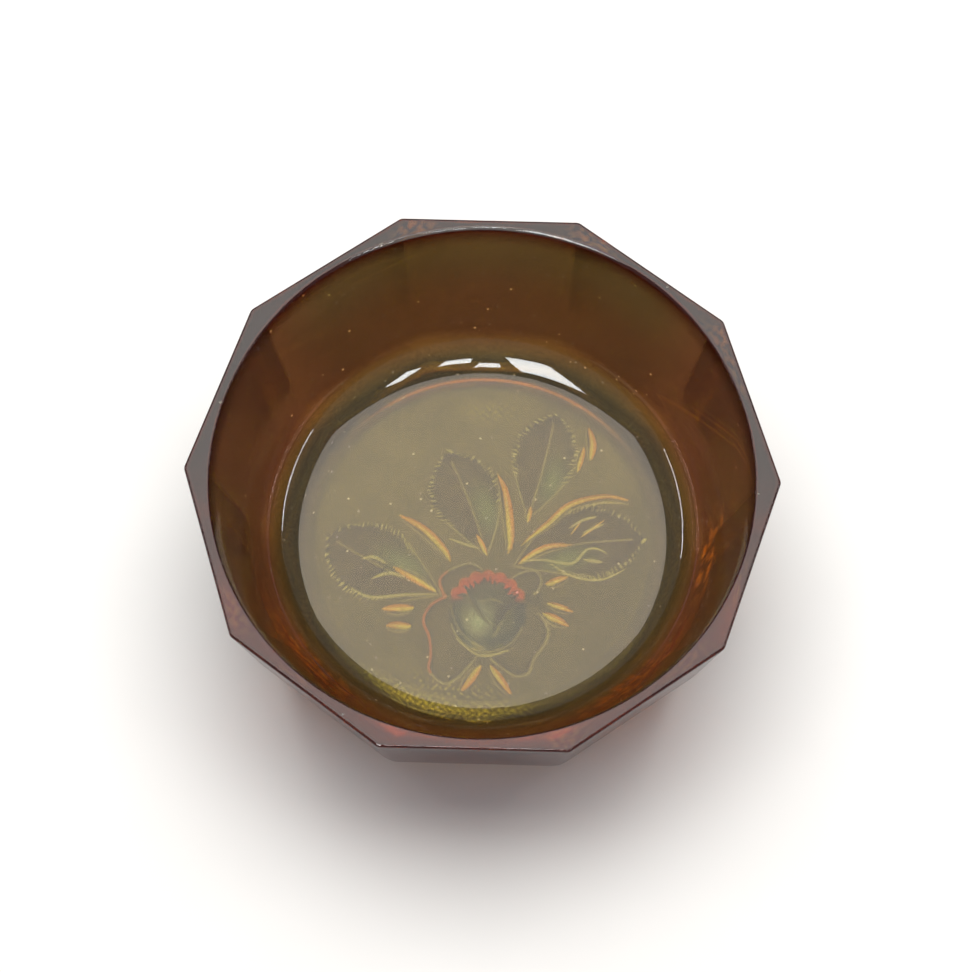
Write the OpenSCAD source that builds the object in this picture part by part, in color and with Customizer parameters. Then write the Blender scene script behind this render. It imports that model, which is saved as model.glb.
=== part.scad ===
// Press-moulded glass dish: ten-sided outside, round inside, with a flat polished rim and a rose
// spray pressed into the underside of its floor. Millimetres, +Z up, origin at the middle of the
// foot's underside. Corners of the ten-sided outline lie on the X axis.

/* [Rim] */
// Width of the rim across opposite corners
rim_across = 132; // [126:1:140]
// Width of the flat rim land at the middle of a side
land_w = 2.7; // [2:0.1:4]
// Depth of the band that carries the land
rim_band_h = 4; // [2:0.5:8]

/* [Outside] */
// Overall height of the dish
dish_h = 47; // [45:0.5:52]
// Lean of each outer facet from the vertical, in degrees
facet_lean = 9.5; // [7:0.5:11]
// Height at which the facets turn in towards the foot
shoulder_h = 13; // [11:0.5:15]
// Width of the foot across opposite corners
foot_across = 98; // [94:1:102]

/* [Inside] */
// Lean of the round inner wall from the vertical, in degrees
bore_lean = 15; // [13:0.5:16]
// Radius of the fillet between the inner wall and the floor
fillet_r = 14; // [10:0.5:15]
// Thickness of the glass from the recess to the top of the floor
floor_t = 5.3; // [4.5:0.1:7]

/* [Underside] */
// Radius of the round recess inside the foot
recess_r = 43; // [40:0.5:44]
// Depth of the recess
recess_h = 1.2; // [0.8:0.1:2]
// Depth of the leaves in the rose spray
leaf_depth = 0.6; // [0.3:0.1:1]
// Depth of the grooves in the rose spray
groove_depth = 0.8; // [0.3:0.1:1.2]
// Depth of the domed bud in the rose spray
bud_depth = 1.8; // [1:0.1:2.5]

/* [Hidden] */
$fn = 96;
sides = 10;
amber = [0.36, 0.17, 0.06];
amber_thin = [0.52, 0.46, 0.30];
over = 1;
reach = 2 * rim_across;

// distance from the axis to a flat side, for a width across corners
function flat_of(across) = across / 2 * cos(180 / sides);

rim_flat = flat_of(rim_across);
foot_flat = flat_of(foot_across);
shoulder_flat = rim_flat - (dish_h - shoulder_h) * tan(facet_lean);
shoulder_lean = atan((shoulder_flat - foot_flat) / shoulder_h);
mouth_r = rim_flat - land_w;
floor_z = recess_h + floor_t;
fillet_z = floor_z + fillet_r;
fillet_x = mouth_r - (dish_h - fillet_z) * tan(bore_lean) - fillet_r / cos(bore_lean);
tangent_x = fillet_x + fillet_r * cos(bore_lean);
tangent_z = fillet_z - fillet_r * sin(bore_lean);

// Rose spray on the floor, seen from above. Leaves and grooves are [from, to, width].
bud_at = [1.5, -17.5];
bud_r = 9.5;
leaves = [
    [[-9.5, -12.5], [-37, -1], 19],
    [[1, -3], [-8.5, 22.5], 15],
    [[10.5, 6], [17, 33], 15],
    [[8, -5.5], [37.5, 3], 17],
];
blades = [
    [[-20, 6.5], [-7.5, -5.5], 2],
    [[3, 17.5], [6, -2.5], 2.2],
    [[9, -0.5], [20, 9.5], 1.6],
    [[19, 9], [34.5, 11.5], 2],
    [[24.5, 30], [25, 21.5], 1.6],
];
dashes = [
    [[-23, -17], [-15.5, -16.5], 2.2],
    [[-22, -21], [-16, -21], 2.2],
    [[15, -10], [20, -8], 2],
    [[15.5, -14.5], [21.5, -16.5], 1.8],
    [[14.5, -17], [20.5, -20], 2.2],
    [[0.5, -30], [-4, -36.5], 2],
    [[2.5, -30], [7.5, -37], 2],
];

// half-space with a flat side leaning in as it goes down, through flat_r at height z
module leaning_side(flat_r, z, lean) {
    translate([flat_r, 0, z])
        rotate([0, lean, 0])
            translate([-reach, -reach / 2, -reach / 2])
                cube(reach);
}

// slab of a ten-sided body between two heights, its flat sides through flat_r at height z
module ten_sided(flat_r, z, lean, from_z, to_z) {
    intersection() {
        intersection_for(side = [0 : sides - 1])
            rotate((side + 0.5) * 360 / sides)
                leaning_side(flat_r, z, lean);
        translate([-reach / 2, -reach / 2, from_z])
            cube([reach, reach, to_z - from_z]);
    }
}

// the round hollow of the dish: tapering wall, fillet and flat floor
module hollow() {
    rotate_extrude() {
        polygon([
            [0, floor_z],
            [fillet_x, floor_z],
            [fillet_x, fillet_z],
            [tangent_x, tangent_z],
            [mouth_r, dish_h],
            [mouth_r + over * tan(bore_lean), dish_h + over],
            [0, dish_h + over],
        ]);
        translate([fillet_x, fillet_z])
            circle(fillet_r);
    }
}

// round plug that splits the floor from the zones round it
module core(from_z, to_z) {
    translate([0, 0, from_z])
        cylinder(r = recess_r, h = to_z - from_z);
}

// pointed oval between two points
module lens(from, to, width) {
    length = norm(to - from);
    arc_r = (length * length + width * width) / (4 * width);
    translate((from + to) / 2)
        rotate(atan2(to[1] - from[1], to[0] - from[0]))
            intersection() {
                translate([0, arc_r - width / 2]) circle(arc_r);
                translate([0, width / 2 - arc_r]) circle(arc_r);
            }
}

// pocket in the underside of the floor
module pocket(depth) {
    translate([0, 0, recess_h - over])
        linear_extrude(over + depth)
            children();
}

module rose_spray() {
    pocket(leaf_depth)
        for (leaf = leaves) lens(leaf[0], leaf[1], leaf[2]);
    pocket(groove_depth)
        for (groove = concat(blades, dashes)) lens(groove[0], groove[1], groove[2]);
    dome_r = (bud_r * bud_r + bud_depth * bud_depth) / (2 * bud_depth);
    translate([bud_at[0], bud_at[1], recess_h + bud_depth - dome_r])
        sphere(dome_r);
}

module rim_band() {
    color(amber)
        difference() {
            ten_sided(rim_flat, dish_h, facet_lean, dish_h - rim_band_h, dish_h);
            hollow();
        }
}

module facet_wall() {
    color(amber)
        difference() {
            ten_sided(rim_flat, dish_h, facet_lean, shoulder_h, dish_h - rim_band_h);
            hollow();
        }
}

module shoulder() {
    color(amber)
        difference() {
            ten_sided(foot_flat, 0, shoulder_lean, recess_h, shoulder_h);
            core(recess_h - over, shoulder_h);
            hollow();
        }
}

module floor_panel() {
    color(amber_thin)
        difference() {
            core(recess_h, shoulder_h);
            hollow();
            rose_spray();
        }
}

module foot_ring() {
    color(amber)
        difference() {
            ten_sided(foot_flat, 0, shoulder_lean, 0, recess_h);
            core(-over, recess_h + over);
        }
}

rim_band();
facet_wall();
shoulder();
floor_panel();
foot_ring();
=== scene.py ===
import math

import bpy
import numpy as np
from mathutils import Matrix, Vector

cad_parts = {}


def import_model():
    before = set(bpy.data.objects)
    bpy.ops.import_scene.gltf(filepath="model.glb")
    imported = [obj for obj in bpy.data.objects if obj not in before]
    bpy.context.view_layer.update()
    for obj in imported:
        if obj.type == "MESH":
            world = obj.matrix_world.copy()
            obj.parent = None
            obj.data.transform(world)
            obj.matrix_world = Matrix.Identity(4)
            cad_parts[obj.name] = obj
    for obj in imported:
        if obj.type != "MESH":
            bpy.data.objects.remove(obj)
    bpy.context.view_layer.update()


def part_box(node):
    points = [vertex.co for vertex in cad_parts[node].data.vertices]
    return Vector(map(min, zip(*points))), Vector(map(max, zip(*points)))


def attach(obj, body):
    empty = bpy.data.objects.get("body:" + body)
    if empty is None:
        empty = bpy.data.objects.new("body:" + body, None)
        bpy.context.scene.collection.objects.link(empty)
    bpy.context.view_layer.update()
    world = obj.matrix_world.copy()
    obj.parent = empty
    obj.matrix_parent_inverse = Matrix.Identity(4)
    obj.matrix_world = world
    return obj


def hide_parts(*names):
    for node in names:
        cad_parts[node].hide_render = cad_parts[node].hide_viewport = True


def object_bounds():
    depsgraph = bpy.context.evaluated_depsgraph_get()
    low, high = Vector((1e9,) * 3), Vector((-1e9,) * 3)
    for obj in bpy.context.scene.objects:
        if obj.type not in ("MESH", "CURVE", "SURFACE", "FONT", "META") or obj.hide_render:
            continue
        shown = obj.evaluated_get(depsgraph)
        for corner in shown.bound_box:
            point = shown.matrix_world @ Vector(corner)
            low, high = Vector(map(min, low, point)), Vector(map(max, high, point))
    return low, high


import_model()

# Sizes of the dish and the camera's place are in millimetres until they are made. The floor and the
# lamps are in metres.
MM = 0.001
SIDES = 10
SIDE_ANGLE = 2 * math.pi / SIDES
HALF_SIDE = SIDE_ANGLE / 2

# Fineness of the mesh: points in a ring, spacing of the underside's rings, and how much the points
# of a ten-sided ring crowd to its corners.
SEGMENTS = 360
FLOOR_SEGMENTS = 720
FLOOR_SPACING = 0.34
CORNER_CROWDING = 0.75
# Inside each radius the underside's rings have this many times fewer points.
FEWER_POINTS = [(22.0, 2), (11.0, 4), (5.5, 8)]
# Rings of the plain floor inside the dish: radius, and how many times fewer points.
PLAIN_RINGS = [(36, 1), (32, 1), (28, 1), (24, 1), (20, 1), (16, 2), (12, 2), (8, 4), (4, 4)]

# Sizes that the CAD boxes don't give. They are the same as in the CAD.
LAND_WIDTH = 2.7
BORE_LEAN = math.radians(15)
FILLET_RADIUS = 14.0
FLOOR_THICKNESS = 5.3

# Roundings left by the mould and the fire polish.
RIM_CORNER = 2.0
SHOULDER_CORNER = 6.0
FOOT_CORNER = 5.0
RIM_EDGE = 0.6
MOUTH_EDGE = 0.55
MOUTH_EDGE_BACK = 1.1
FOOT_EDGE = 0.7
RECESS_SLOPE = 4.0

# The curved turn above the foot: how far its knee lies in and below the CAD's sharp edge, how far
# up the facet it ends, and the share of it that still has the foot's tint.
KNEE_IN = 1.4
KNEE_DROP = 5.5
TURN_RISE = 7.0
FOOT_PART_OF_TURN = 0.1

# A slight bead in the fillet at the two sides: its angle up the fillet, height and half width.
BEAD_ANGLE = 54.0
BEAD_HEIGHT = 0.3
BEAD_HALF_ANGLE = 1.6

# Depths of the pressed rose spray.
LEAF_STEP = 0.16
LEAF_PILLOW = 0.3
GROOVE_DEPTH = 0.42
BUD_DEPTH = 1.3
PETAL_DEPTH = 0.22
CURL_DEPTH = 0.4
RIPPLE_PITCH = 1.7
RIPPLE_HEIGHT = 0.016


def smooth_step(value):
    """0 below 0, 1 above 1, with a soft ramp between."""
    ramp = np.clip(value, 0.0, 1.0)
    return ramp * ramp * (3.0 - 2.0 * ramp)


# ---------------------------------------------------------------- curves on the floor

def spline(points, steps=6):
    """Smooth curve through the points, as an array of points close together."""
    knots = np.array(points, float)
    last = len(knots) - 1
    ramp = np.linspace(0.0, 1.0, steps, endpoint=False)[:, None]
    pieces = []
    for span in range(last):
        places = [max(span - 1, 0), span, span + 1, min(span + 2, last)]
        before, start, end, after = knots[places]
        pieces.append(0.5 * (
            2 * start
            + (end - before) * ramp
            + (2 * before - 5 * start + 4 * end - after) * ramp ** 2
            + (3 * start - before - 3 * end + after) * ramp ** 3
        ))
    pieces.append(knots[-1:])
    return np.vstack(pieces)


def along(path, x, y):
    """Distance to a path, place on it from 0 to 1, side (+1 left, -1 right) and its length."""
    distance = np.full(x.shape, 1e9)
    place = np.zeros(x.shape)
    side = np.ones(x.shape)
    travelled = 0.0
    for start, end in zip(path[:-1], path[1:]):
        step = end - start
        length = math.hypot(step[0], step[1])
        if length < 1e-9:
            continue
        share = ((x - start[0]) * step[0] + (y - start[1]) * step[1]) / length ** 2
        share = np.clip(share, 0.0, 1.0)
        off_x = x - start[0] - share * step[0]
        off_y = y - start[1] - share * step[1]
        gap = np.hypot(off_x, off_y)
        nearer = gap < distance
        distance = np.where(nearer, gap, distance)
        place = np.where(nearer, travelled + share * length, place)
        side = np.where(nearer, np.sign(step[0] * off_y - step[1] * off_x), side)
        travelled += length
    return distance, place / travelled, side, travelled


def inside(outline, x, y):
    """True where a point is inside a closed outline."""
    result = np.zeros(x.shape, bool)
    for start, end in zip(outline, np.roll(outline, -1, axis=0)):
        crosses = (start[1] > y) != (end[1] > y)
        rise = end[1] - start[1]
        if abs(rise) < 1e-12:
            continue
        where = start[0] + (y - start[1]) * (end[0] - start[0]) / rise
        result ^= crosses & (x < where)
    return result


# ---------------------------------------------------------------- the rose spray

# Each leaf: base, bend and tip of its midrib, and half widths to the left and right of it. All
# leaves share the fullness below.
LEAVES = [
    ((-9.5, -13.0), (-22.0, -7.5), (-36.5, 0.5), 8.6, 9.0),
    ((1.0, -3.0), (-3.0, 9.0), (-9.0, 22.5), 7.8, 7.6),
    ((10.5, 6.5), (13.5, 18.0), (16.5, 33.0), 7.4, 6.8),
    ((7.5, -5.5), (21.0, 0.0), (37.5, 2.0), 8.6, 8.4),
]
LEAF_FULLEST = 1.35
LEAF_ROUND = 0.68
TOOTH_PITCH = 1.25
TOOTH_DEPTH = 0.7
VEIN_PITCH = 5.2

# Each blade is a V groove: its path and its full width.
BLADES = [
    ([(-20, 6.5), (-14, 3), (-9, -2), (-7.5, -5)], 2.1),
    ([(3, 17.5), (5, 12.5), (6.5, 2), (6, -2.5)], 2.3),
    ([(9, -0.5), (12, 2.5), (15.5, 5.5), (19.5, 9.5), (24, 11.5), (29.5, 12.5), (34.5, 11.5)], 1.8),
    ([(24.5, 30), (25.5, 25.5), (25, 21.5)], 2.0),
    ([(23.5, 25), (22, 18.5)], 1.5),
    ([(-10.5, -12.5), (-15.5, -9.5), (-21, -6.5)], 1.7),
    ([(-1.5, 2), (1, -3)], 1.5),
    ([(11, 9.5), (10.5, 5.5)], 1.4),
    ([(8.5, -5), (12.5, -2), (16, -0.5), (21, 0)], 1.7),
    ([(28.5, 6.5), (23, 2)], 0.8),
    ([(23, 6), (20.5, 2.5)], 0.7),
]
DASHES = [
    ([(-23, -17), (-15.5, -16.5)], 2.2),
    ([(-22, -21), (-16, -21)], 2.2),
    ([(15, -10), (20, -8)], 2.0),
    ([(15.5, -14.5), (21.5, -16.5)], 1.8),
    ([(14.5, -17), (20.5, -20)], 2.2),
    ([(0.5, -30), (-4, -36.5)], 2.0),
    ([(2.5, -30), (7.5, -37)], 2.0),
]
PETALS = [
    [(-8.5, -14), (-11.5, -16), (-13, -19.5), (-11.5, -23.5), (-11, -28), (-11.2, -31.5),
     (-8, -34.5), (-4.5, -32.5), (-1, -28)],
    [(-8.5, -13), (-9.5, -9.5), (-7, -7), (-3, -5.5), (-0.5, -6.5)],
    [(13.5, -17.5), (15.5, -21), (14.8, -24.5), (12.4, -28), (11.2, -31.5), (8.0, -32),
     (3, -28.5)],
    [(7.0, -9), (9.5, -7.4), (12.5, -7), (13.7, -9.3), (12.5, -12)],
]
BUD_CENTRE = (1.5, -17.3)
BUD_HALF_X = 9.2
BUD_HALF_Y = 10.0
BUD_SCALLOPS = 9
FOLDS = [
    ([(-3.5, -11.5), (-0.5, -16.5), (3.5, -20)], 0.45),
    ([(9.8, -13.5), (6, -16.5), (3.0, -22.5)], -0.45),
    ([(0, -14.2), (2.5, -13.6), (5.5, -14.6)], 0.3),
    ([(-6.5, -16), (-4, -22), (1, -25.5)], 0.3),
]
# Fine painted highlight lines and painted shade in creases, which stay level with the glass: path
# and width.
LIGHT_STROKES = [
    ([(-31, -11.8), (-26, -14.1), (-17.5, -13.4), (-10, -13.0)], 0.8),
    ([(-28.4, -4.8), (-25.5, -4.3), (-22.4, -5.8)], 1.0),
    ([(-25.7, -9.6), (-21.9, -8.2), (-17.7, -9.0)], 1.0),
    ([(-7.9, 0.9), (-4.5, -0.3), (-1.0, -1.3)], 0.8),
    ([(24.2, 10.0), (29, 11), (34.4, 10.7)], 0.6),
    ([(20.0, 4.0), (23.4, 6.3), (26.8, 7.3)], 0.8),
    ([(23.4, 3.1), (28.5, 5.5)], 0.8),
    ([(9.2, -4.4), (14.2, -3.9), (21.0, -4.6), (24.3, -1.2), (26.9, -0.8), (29.4, -2.1)], 0.8),
    ([(23.9, -3.6), (28.2, -4.1)], 1.1),
    ([(15.9, -4.7), (21.1, -7.7), (27.8, -8.4), (33.7, -5.6)], 0.7),
    ([(-5.8, -23.5), (-1.1, -27.3), (2.7, -27.6), (8.0, -25.7)], 0.7),
]
CREASES = [
    ([(-22.4, -6.6), (-25.3, -8.5), (-28.6, -9.4)], 1.2),
    ([(-30, -13), (-25.5, -15.2), (-17.5, -14.4)], 0.8),
    ([(16.6, 3.6), (24.2, 8.8), (31, 9.5)], 1.0),
    ([(21.0, -5.8), (24.5, -2.6), (27.5, -2.2)], 1.2),
    ([(-3.2, -12.4), (-0.6, -17.2), (2.2, -20.4)], 1.2),
    ([(8.9, -12.2), (4.6, -16.6), (2.9, -22.0)], 1.3),
    ([(5.0, -19.5), (6.5, -16.5), (9.5, -14.5)], 1.0),
]
CURL_CENTRE = (12.0, -13.0)
CURL_RADIUS = 1.5


def groove(path, width, depth, x, y):
    """V groove, pointed at both ends."""
    distance, place, _, _ = along(path, x, y)
    half = width / 2 * np.sqrt(np.clip(np.sin(np.pi * place), 0.0, 1.0)) + 1e-6
    return depth * np.clip(1.0 - distance / half, 0.0, 1.0)


def leaf_place(base, bend, tip, left, right, x, y):
    """Distance from the midrib, place on it, side, depth inside the toothed edge, tooth count."""
    distance, place, side, length = along(spline([base, bend, tip], steps=14), x, y)
    shape = np.clip(np.sin(np.pi * place ** LEAF_FULLEST), 0.0, 1.0) ** LEAF_ROUND
    half = np.where(side > 0, left, right) * shape
    run = place * length / TOOTH_PITCH + np.where(side > 0, 0.0, 0.37)
    run = run + 0.25 * np.sin(place * 31.0 + 2.0 * base[0])
    tooth = (1.0 - np.abs(2.0 * (run % 1.0) - 1.0)) * TOOTH_DEPTH
    half = half + tooth * smooth_step((place - 0.3) / 0.2)
    return distance, place, side, half - distance, run


def leaf(base, bend, tip, left, right, x, y):
    """Toothed leaf: a stepped edge, and a puffed lobe between each pair of side veins."""
    distance, _, _, gap, run = leaf_place(base, bend, tip, left, right, x, y)
    edge = smooth_step(gap / 0.6)
    vein = (run * TOOTH_PITCH - 0.75 * distance) / VEIN_PITCH
    lobe = np.abs(np.sin(np.pi * vein)) ** 0.6
    rib = smooth_step(distance / 1.6)
    cushion = np.clip(gap / np.maximum(gap + distance, 1e-6), 0.0, 1.0) ** 0.5
    return edge * (LEAF_STEP + LEAF_PILLOW * cushion * (0.35 + 0.65 * lobe) * (0.25 + 0.75 * rib))


def petal(outline, x, y):
    """Petal behind the bud: a crisp edge that fades towards the bud."""
    path = spline(outline)
    closed = np.vstack([path, [BUD_CENTRE]])
    distance, _, _, _ = along(path, x, y)
    within = inside(closed, x, y)
    bevel = np.exp(-distance / 2.6)
    lip = PETAL_DEPTH * bevel * smooth_step(distance / 0.35)
    line = 0.22 * np.clip(1.0 - distance / 0.55, 0.0, 1.0)
    return np.where(within, lip, 0.0) + line


def bud_place(x, y):
    """How far out a point is in the bud (1 at its outline), how far behind, and its directions."""
    across = (x - BUD_CENTRE[0]) / BUD_HALF_X
    back = (y - BUD_CENTRE[1]) / BUD_HALF_Y
    turn = np.arctan2(back, across)
    scallop = np.abs(np.sin(turn * BUD_SCALLOPS))
    behind = smooth_step((back - 0.15) / 0.4)
    reach = np.hypot(across, back) / (1.0 + 0.09 * scallop * behind)
    return reach, behind, back, across


def bud(x, y):
    """Domed bud with a steep scalloped back and folded petals."""
    reach, behind, _, _ = bud_place(x, y)
    dome = np.clip(1.0 - reach ** 2, 0.0, 1.0)
    steep = np.clip((1.0 - reach) / 0.34, 0.0, 1.0)
    height = BUD_DEPTH * ((1.0 - behind) * dome ** 0.8 + behind * steep)
    within = smooth_step((1.0 - reach) / 0.15)
    for path, step in FOLDS:
        distance, place, side, _ = along(spline(path), x, y)
        ends = np.sin(np.pi * np.clip(place, 0.02, 0.98)) ** 0.5
        fold = np.exp(-distance / 2.2) * smooth_step(distance / 0.3)
        height = height + within * abs(step) * ends * fold * (side * np.sign(step) > 0)
    return height


def ripple(x, y):
    """Fine chill marks that the mould leaves near the edge of the floor."""
    radius = np.hypot(x, y)
    turn = np.arctan2(y, x)
    wander = 1.7 * np.sin(3 * turn + 0.4) + 1.1 * np.sin(7 * turn + 2.0)
    wander = wander + 0.8 * np.sin(x / 2.3 + 1.0)
    waves = np.sin(2 * np.pi * radius / RIPPLE_PITCH + wander)
    band = smooth_step((radius - 31.0) / 3.0) * (1.0 - smooth_step((radius - 39.0) / 2.0))
    patch = np.clip(np.sin(turn * 2 + 0.3) * 0.5 + np.sin(turn * 5 + 1.1) * 0.5, 0.0, 1.0)
    return RIPPLE_HEIGHT * waves * band * patch


def relief(x, y):
    """How deep the underside is pressed at each point."""
    depth = np.zeros(x.shape)
    for base, bend, tip, left, right in LEAVES:
        depth = np.maximum(depth, leaf(base, bend, tip, left, right, x, y))
    for outline in PETALS:
        depth = np.maximum(depth, petal(outline, x, y))
    depth = np.maximum(depth, bud(x, y))
    ring = np.abs(np.hypot(x - CURL_CENTRE[0], y - CURL_CENTRE[1]) - CURL_RADIUS)
    depth = np.maximum(depth, CURL_DEPTH * np.clip(1.0 - ring / 0.6, 0.0, 1.0))
    for path, width in BLADES + DASHES:
        depth = np.maximum(depth, groove(spline(path), width, GROOVE_DEPTH, x, y))
    wobble = 0.012 * np.sin(x / 3.1 + 0.7) * np.sin(y / 3.7 + 1.3) + 0.008 * np.sin((x + y) / 1.9)
    return depth + wobble + ripple(x, y)


# ---------------------------------------------------------------- stored tints of the glass and painted light

# About one full turn, for the speckle.
WAVE = 6.28

# Red, green and blue of each tint say how much light gets through the surface there. Beside the
# glass's own tint, many tints are painted light and shade. The layer's fourth channel is grain,
# the roughness that the mould left on the outer facets.
TINT_LAYER = "glass_tint_and_painted_light"
FACET_GRAIN = 0.14
CLEAR_TINT = (0.32, 0.27, 0.12)
FLOOR_TINT = (0.062, 0.050, 0.007)
WALL_TINT = (0.50, 0.20, 0.075)
# Painted light: the wall redder in front and at the sides, and olive high at the back.
FRONT_TINT = (0.65, 0.22, 0.08)
SIDE_TINT = (0.80, 0.26, 0.12)
OLIVE_TINT = (0.46, 0.30, 0.09)
FACET_TINT = (0.012, 0.0055, 0.004)
# Painted light: the facets red at the front.
FACET_FRONT_TINT = (0.10, 0.008, 0.002)
AMBER = (0.50, 0.32, 0.10)
FOOT_TINT = (0.05, 0.035, 0.02)
# Painted light: paler towards the foot's outer edge and low on the facets, and a yellow glow on the
# foot's edge at the back.
FOOT_RIM_TINT = (0.16, 0.11, 0.04)
FOOT_EDGE_TINT = (1.0, 0.62, 0.12)
LAND_TINT = (0.04, 0.012, 0.01)
# Painted light: the rim land redder at the front.
LAND_FRONT_TINT = (0.34, 0.02, 0.004)
EDGE_TINT = (0.20, 0.015, 0.006)
# Painted highlight on the back of the mouth's edge.
PAINTED_EDGE_HIGHLIGHT_TINT = (1.0, 1.0, 1.0)
# Painted light and shade: orange, yellow, cream, pale, red and green, the bud's cheek, the shimmer
# and the recess arc are painted highlights, glints and glows; mauve, slate and the dark are painted
# shade.
ORANGE_PAINTED_LIGHT = (1.0, 0.24, 0.002)
YELLOW_PAINTED_LIGHT = (1.0, 0.85, 0.02)
CREAM_PAINTED_LIGHT = (0.80, 0.74, 0.14)
PALE_PAINTED_LIGHT = (0.30, 0.27, 0.06)
RED_PAINTED_LIGHT = (0.60, 0.02, 0.0)
MAUVE_PAINTED_SHADE = (0.008, 0.0025, 0.0015)
SLATE_PAINTED_SHADE = (0.003, 0.008, 0.005)
GREEN_PAINTED_LIGHT = (0.06, 0.11, 0.025)
BUD_CHEEK_HIGHLIGHT = (0.35, 0.50, 0.30)
SHIMMER = (0.35, 0.30, 0.006)
PAINTED_SHADE = (0.0004, 0.0004, 0.0001)
RECESS_ARC = (1.0, 0.20, 0.002)
# Each glint: angle round the dish, half width in degrees, lowest and highest level.
FACET_GLINTS = [
    (222.0, 11.0, 3.0, 22.0),
    (312.0, 12.0, 3.0, 22.0),
    (352.0, 7.0, 8.0, 26.0),
]
# Strength of the rim land's glints at the back and at the front.
BACK_GLINT = 0.9
FRONT_GLINT = 0.35
# Glints on the rim land and on the inner wall: place and size.
LAND_GLINTS = [
    ((-17, 60.5), 4.0), ((22, 59), 3.0), ((27, 57), 2.5), ((54, 35), 4.0), ((57, 29), 3.0),
    ((59, 24), 3.0), ((-52, -33), 6.0), ((-38, -47), 5.0), ((44, -42), 7.0), ((55, -24), 6.0),
    ((20, -59), 5.0),
]
WALL_GLINTS = [
    ((-41, -36), 7.0), ((-34, -42), 5.0), ((36, -42), 7.0), ((30, -48), 5.0), ((53, -6), 5.0),
]


def blend_tint(under, over, share):
    """Lays one tint over others by a share from 0 to 1 at each point."""
    share = np.clip(share, 0.0, 1.0)[:, None]
    return under * (1.0 - share) + np.array(over) * share


def speckle(x, y, pitch, phase):
    """Uneven value from 0 to 1, made of crossing waves."""
    first = np.sin(x * WAVE / pitch + 1.7 * np.sin(y * 4.1 / pitch + phase))
    second = np.sin(y * WAVE / pitch * 0.83 + 1.9 * np.sin(x * 3.3 / pitch + 2 * phase))
    return 0.5 + 0.25 * (first + second)


def groove_tint(tint, path, width, x, y):
    """Orange groove with a golden line down it, dark edges and a pale line beside it: painted light
    and shade.
    """
    distance, place, side, _ = along(path, x, y)
    inner = np.hypot(path[0][0] - BUD_CENTRE[0], path[0][1] - BUD_CENTRE[1])
    outer = np.hypot(path[-1][0] - BUD_CENTRE[0], path[-1][1] - BUD_CENTRE[1])
    towards_bud = place if outer < inner else 1.0 - place
    half = width / 2 * np.sqrt(np.clip(np.sin(np.pi * place), 0.0, 1.0)) + 1e-6
    across = side * distance / half
    within = smooth_step((half - distance) / 0.25)
    wide = half > 0.3
    tint = blend_tint(tint, PALE_PAINTED_LIGHT, 0.7 * np.exp(-((across + 1.35) / 0.25) ** 2) * wide)
    tint = blend_tint(tint, PAINTED_SHADE, 0.85 * np.exp(-((np.abs(across) - 0.95) / 0.3) ** 2) * wide)
    tint = blend_tint(tint, ORANGE_PAINTED_LIGHT, within * smooth_step((across + 0.7) / 0.4))
    gold = np.exp(-((across - 0.1 + 0.5 * towards_bud) / (0.25 + 0.45 * towards_bud ** 2)) ** 2)
    return blend_tint(tint, YELLOW_PAINTED_LIGHT, within * gold * (0.35 + 0.65 * smooth_step(towards_bud * 1.6)))


def stroke_tint(tint, path, width, over, strength, x, y):
    """A fine line with pointed ends."""
    distance, place, _, _ = along(path, x, y)
    half = width / 2 * np.sqrt(np.clip(np.sin(np.pi * place), 0.05, 1.0))
    return blend_tint(tint, over, strength * np.clip(1.6 - 1.6 * distance / (half * 1.4), 0.0, 1.0))


def leaf_tint(tint, base, bend, tip, left, right, x, y):
    """Mauve leaf with a green lower lobe, a fine rib and flecks of light along its teeth, all
    painted light and shade.
    """
    distance, place, side, gap, run = leaf_place(base, bend, tip, left, right, x, y)
    within = smooth_step(gap / 0.5)
    tint = blend_tint(tint, MAUVE_PAINTED_SHADE, 0.9 * within * (0.7 + 0.3 * speckle(x, y, 4.3, 0.4)))
    lobe = np.exp(-((place - 0.38) / 0.17) ** 2) * np.exp(-((distance - 3.2) / 2.0) ** 2)
    tint = blend_tint(tint, GREEN_PAINTED_LIGHT, within * lobe * (side < 0))
    rib = np.clip(1.0 - distance / 0.4, 0.0, 1.0) * (place > 0.05) * (place < 0.92)
    tint = blend_tint(tint, PALE_PAINTED_LIGHT, 0.7 * rib)
    outline = np.clip(1.0 - np.abs(gap) / 0.4, 0.0, 1.0)
    smooth_part = outline * (1.0 - smooth_step((place - 0.3) / 0.15))
    tint = blend_tint(tint, PALE_PAINTED_LIGHT, 0.8 * smooth_part)
    teeth = smooth_step((2.0 - np.abs(gap - 0.9)) / 1.3) * smooth_step((place - 0.35) / 0.2)
    hatch = 0.5 + 0.5 * np.sin(2 * np.pi * (1.3 * run + 0.35 * gap))
    uneven = 0.45 + 0.55 * speckle(x, y, 2.9, 0.2)
    tint = blend_tint(tint, PAINTED_SHADE, 0.9 * teeth * (1.0 - hatch) ** 0.7 * uneven)
    rim = smooth_step((0.9 - np.abs(gap - 0.2)) / 0.5) * smooth_step((place - 0.3) / 0.1)
    lit = 0.25 + 0.75 * speckle(x, y, 3.7, 1.2)
    return blend_tint(tint, CREAM_PAINTED_LIGHT, 0.85 * rim * hatch ** 3 * lit)


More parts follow.
